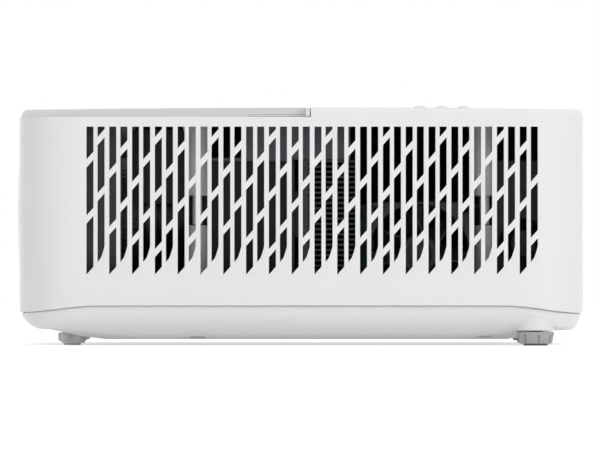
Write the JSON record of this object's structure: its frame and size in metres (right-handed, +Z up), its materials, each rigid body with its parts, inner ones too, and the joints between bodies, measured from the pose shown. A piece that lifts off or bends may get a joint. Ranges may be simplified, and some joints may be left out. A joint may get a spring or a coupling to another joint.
{
  "type": "dlp projector",
  "caption": "Table-top lamp projector with slotted sides, a round lens at one end of its front, a lamp cover, a keypad and screw feet, built with its light engine, fans and boards inside.",
  "frame": {"origin": "middle of the footprint, on the plane that the feet stand on", "axes": "-X where the lens looks, +Y across to the exhaust side, +Z up"},
  "size_m": [0.271, 0.315, 0.1152],
  "materials": {
    "case_white": "glossy white moulding",
    "deck_white": "satin white moulding",
    "belly_white": "satin white moulding",
    "button_white": "satin",
    "panel_grey": "fine grain",
    "foot_grey": "satin grey",
    "pad_rubber": "matte grey",
    "pad_pale": "matte, pale",
    "black_plastic": "satin black",
    "dark_plastic": "satin dark grey",
    "engine_metal": "dark die casting",
    "shield_metal": "dark pressed sheet",
    "black_aluminium": "extruded, black anodised",
    "steel": "nickel plated",
    "board_green": "solder mask",
    "board_black": "black solder mask",
    "glass": "polished, coated",
    "filter_dark": "dark infrared filter",
    "mirror": "dichroic mirror"
  },
  "bodies": {
    "case": {"ac_inlet": "black_plastic", "air_baffle": "dark_plastic", "audio_jacks": "black_plastic", "blower_housing": "black_plastic", "bottom_case": "belly_white", "case_screw_1": "steel", "case_screw_2": "steel", "case_screw_3": "steel", "case_screw_4": "steel", "color_wheel_motor": "dark_plastic", "dmd_board": "board_black", "dmd_heatsink": "black_aluminium", "engine_cover": "shield_metal", "engine_housing": "engine_metal", "exhaust_fan_frame": "black_plastic", "hdmi_socket_1": "steel", "hdmi_socket_2": "steel", "intake_fan_frame": "black_plastic", "integrator_rod": "glass", "ir_window": "filter_dark", "keypad_board": "board_green", "lamp_burner": "glass", "lamp_housing": "dark_plastic", "lamp_reflector": "mirror", "lens_barrel": "black_plastic", "lens_bezel": "deck_white", "lens_deck": "deck_white", "main_board": "board_green", "power_board": "board_green", "rear_lens": "glass", "rear_panel": "panel_grey", "speaker": "dark_plastic", "status_lights": "glass", "upper_case": "case_white", "usb_socket": "steel"},
    "focus": {"focus_ring": "case_white", "front_lens": "glass"},
    "zoom": {"zoom_ring": "dark_plastic"},
    "lamp_lid": {"lamp_cover": "case_white"},
    "exhaust_rotor": {"exhaust_fan_rotor": "black_plastic"},
    "intake_rotor": {"intake_fan_rotor": "black_plastic"},
    "blower_rotor": {"blower_wheel": "black_plastic"},
    "wheel": {"color_wheel": "glass"},
    "key_1": {"button_1": "button_white"},
    "key_2": {"button_2": "button_white"},
    "key_3": {"button_3": "button_white"},
    "key_4": {"button_4": "button_white"},
    "key_5": {"button_5": "button_white"},
    "key_6": {"button_6": "button_white"},
    "key_7": {"button_7": "button_white"},
    "key_8": {"button_8": "button_white"},
    "key_9": {"button_9": "button_white"},
    "front_near_foot": {"front_near_foot_pad": "pad_pale"},
    "front_near_foot_screw": {"front_near_foot_knob": "belly_white"},
    "front_far_foot": {"front_far_foot_pad": "pad_pale"},
    "front_far_foot_screw": {"front_far_foot_knob": "belly_white"},
    "rear_near_foot": {"rear_near_foot_pad": "pad_rubber"},
    "rear_near_foot_screw": {"rear_near_foot_knob": "foot_grey"},
    "rear_far_foot": {"rear_far_foot_pad": "pad_rubber"},
    "rear_far_foot_screw": {"rear_far_foot_knob": "foot_grey"}
  },
  "joints": [
    {"name": "focus_turn", "type": "hinge", "parent": "case", "child": "focus", "pos_m": [-0.1345, -0.095, 0.06285], "axis": [1, 0, 0], "range_deg": [-60, 60]},
    {"name": "zoom_turn", "type": "hinge", "parent": "case", "child": "zoom", "pos_m": [-0.0835, -0.095, 0.06285], "axis": [1, 0, 0], "range_deg": [-16, 16]},
    {"name": "lamp_lid_lift", "type": "slide", "parent": "case", "child": "lamp_lid", "axis": [0, 0, 1], "range_m": [0, 0.03]},
    {"name": "exhaust_spin", "type": "hinge", "parent": "case", "child": "exhaust_rotor", "pos_m": [-0.0028, 0.1365, 0.0585], "axis": [0, 1, 0], "continuous": true},
    {"name": "intake_spin", "type": "hinge", "parent": "case", "child": "intake_rotor", "pos_m": [0.0568, -0.144, 0.0435], "axis": [0, 1, 0], "continuous": true},
    {"name": "blower_spin", "type": "hinge", "parent": "case", "child": "blower_rotor", "pos_m": [-0.0975, 0.062, 0.025], "axis": [0, 0, 1], "continuous": true},
    {"name": "wheel_spin", "type": "hinge", "parent": "case", "child": "wheel", "pos_m": [-0.0287, 0.011, 0.0655], "axis": [0, 1, 0], "continuous": true},
    {"name": "button_1_press", "type": "slide", "parent": "case", "child": "key_1", "axis": [0, 0, -1], "range_m": [0, 0.0006], "stiffness_N_per_m": 1500},
    {"name": "button_2_press", "type": "slide", "parent": "case", "child": "key_2", "axis": [0, 0, -1], "range_m": [0, 0.0006], "stiffness_N_per_m": 1500},
    {"name": "button_3_press", "type": "slide", "parent": "case", "child": "key_3", "axis": [0, 0, -1], "range_m": [0, 0.0006], "stiffness_N_per_m": 1500},
    {"name": "button_4_press", "type": "slide", "parent": "case", "child": "key_4", "axis": [0, 0, -1], "range_m": [0, 0.0006], "stiffness_N_per_m": 1500},
    {"name": "button_5_press", "type": "slide", "parent": "case", "child": "key_5", "axis": [0, 0, -1], "range_m": [0, 0.0006], "stiffness_N_per_m": 1500},
    {"name": "button_6_press", "type": "slide", "parent": "case", "child": "key_6", "axis": [0, 0, -1], "range_m": [0, 0.0006], "stiffness_N_per_m": 1500},
    {"name": "button_7_press", "type": "slide", "parent": "case", "child": "key_7", "axis": [0, 0, -1], "range_m": [0, 0.0006], "stiffness_N_per_m": 1500},
    {"name": "button_8_press", "type": "slide", "parent": "case", "child": "key_8", "axis": [0, 0, -1], "range_m": [0, 0.0006], "stiffness_N_per_m": 1500},
    {"name": "button_9_press", "type": "slide", "parent": "case", "child": "key_9", "axis": [0, 0, -1], "range_m": [0, 0.0006], "stiffness_N_per_m": 1500},
    {"name": "front_near_foot_drop", "type": "slide", "parent": "case", "child": "front_near_foot", "axis": [0, 0, -1], "range_m": [0, 0.009]},
    {"name": "front_near_foot_turn", "type": "hinge", "parent": "front_near_foot", "child": "front_near_foot_screw", "pos_m": [-0.1095, -0.1025, 0.005], "axis": [0, 0, -1], "range_deg": [0, 1620]},
    {"name": "front_far_foot_drop", "type": "slide", "parent": "case", "child": "front_far_foot", "axis": [0, 0, -1], "range_m": [0, 0.009]},
    {"name": "front_far_foot_turn", "type": "hinge", "parent": "front_far_foot", "child": "front_far_foot_screw", "pos_m": [-0.1095, 0.1025, 0.005], "axis": [0, 0, -1], "range_deg": [0, 1620]},
    {"name": "rear_near_foot_drop", "type": "slide", "parent": "case", "child": "rear_near_foot", "axis": [0, 0, -1], "range_m": [0, 0.009]},
    {"name": "rear_near_foot_turn", "type": "hinge", "parent": "rear_near_foot", "child": "rear_near_foot_screw", "pos_m": [0.1126, -0.1453, 0.005], "axis": [0, 0, -1], "range_deg": [0, 1620]},
    {"name": "rear_far_foot_drop", "type": "slide", "parent": "case", "child": "rear_far_foot", "axis": [0, 0, -1], "range_m": [0, 0.009]},
    {"name": "rear_far_foot_turn", "type": "hinge", "parent": "rear_far_foot", "child": "rear_far_foot_screw", "pos_m": [0.1126, 0.1453, 0.005], "axis": [0, 0, -1], "range_deg": [0, 1620]}
  ],
  "couplings": [
    {"joint": "front_near_foot_turn", "follows": "front_near_foot_drop", "rad_per_m": 3141.6},
    {"joint": "front_far_foot_turn", "follows": "front_far_foot_drop", "rad_per_m": 3141.6},
    {"joint": "rear_near_foot_turn", "follows": "rear_near_foot_drop", "rad_per_m": 3141.6},
    {"joint": "rear_far_foot_turn", "follows": "rear_far_foot_drop", "rad_per_m": 3141.6}
  ]
}
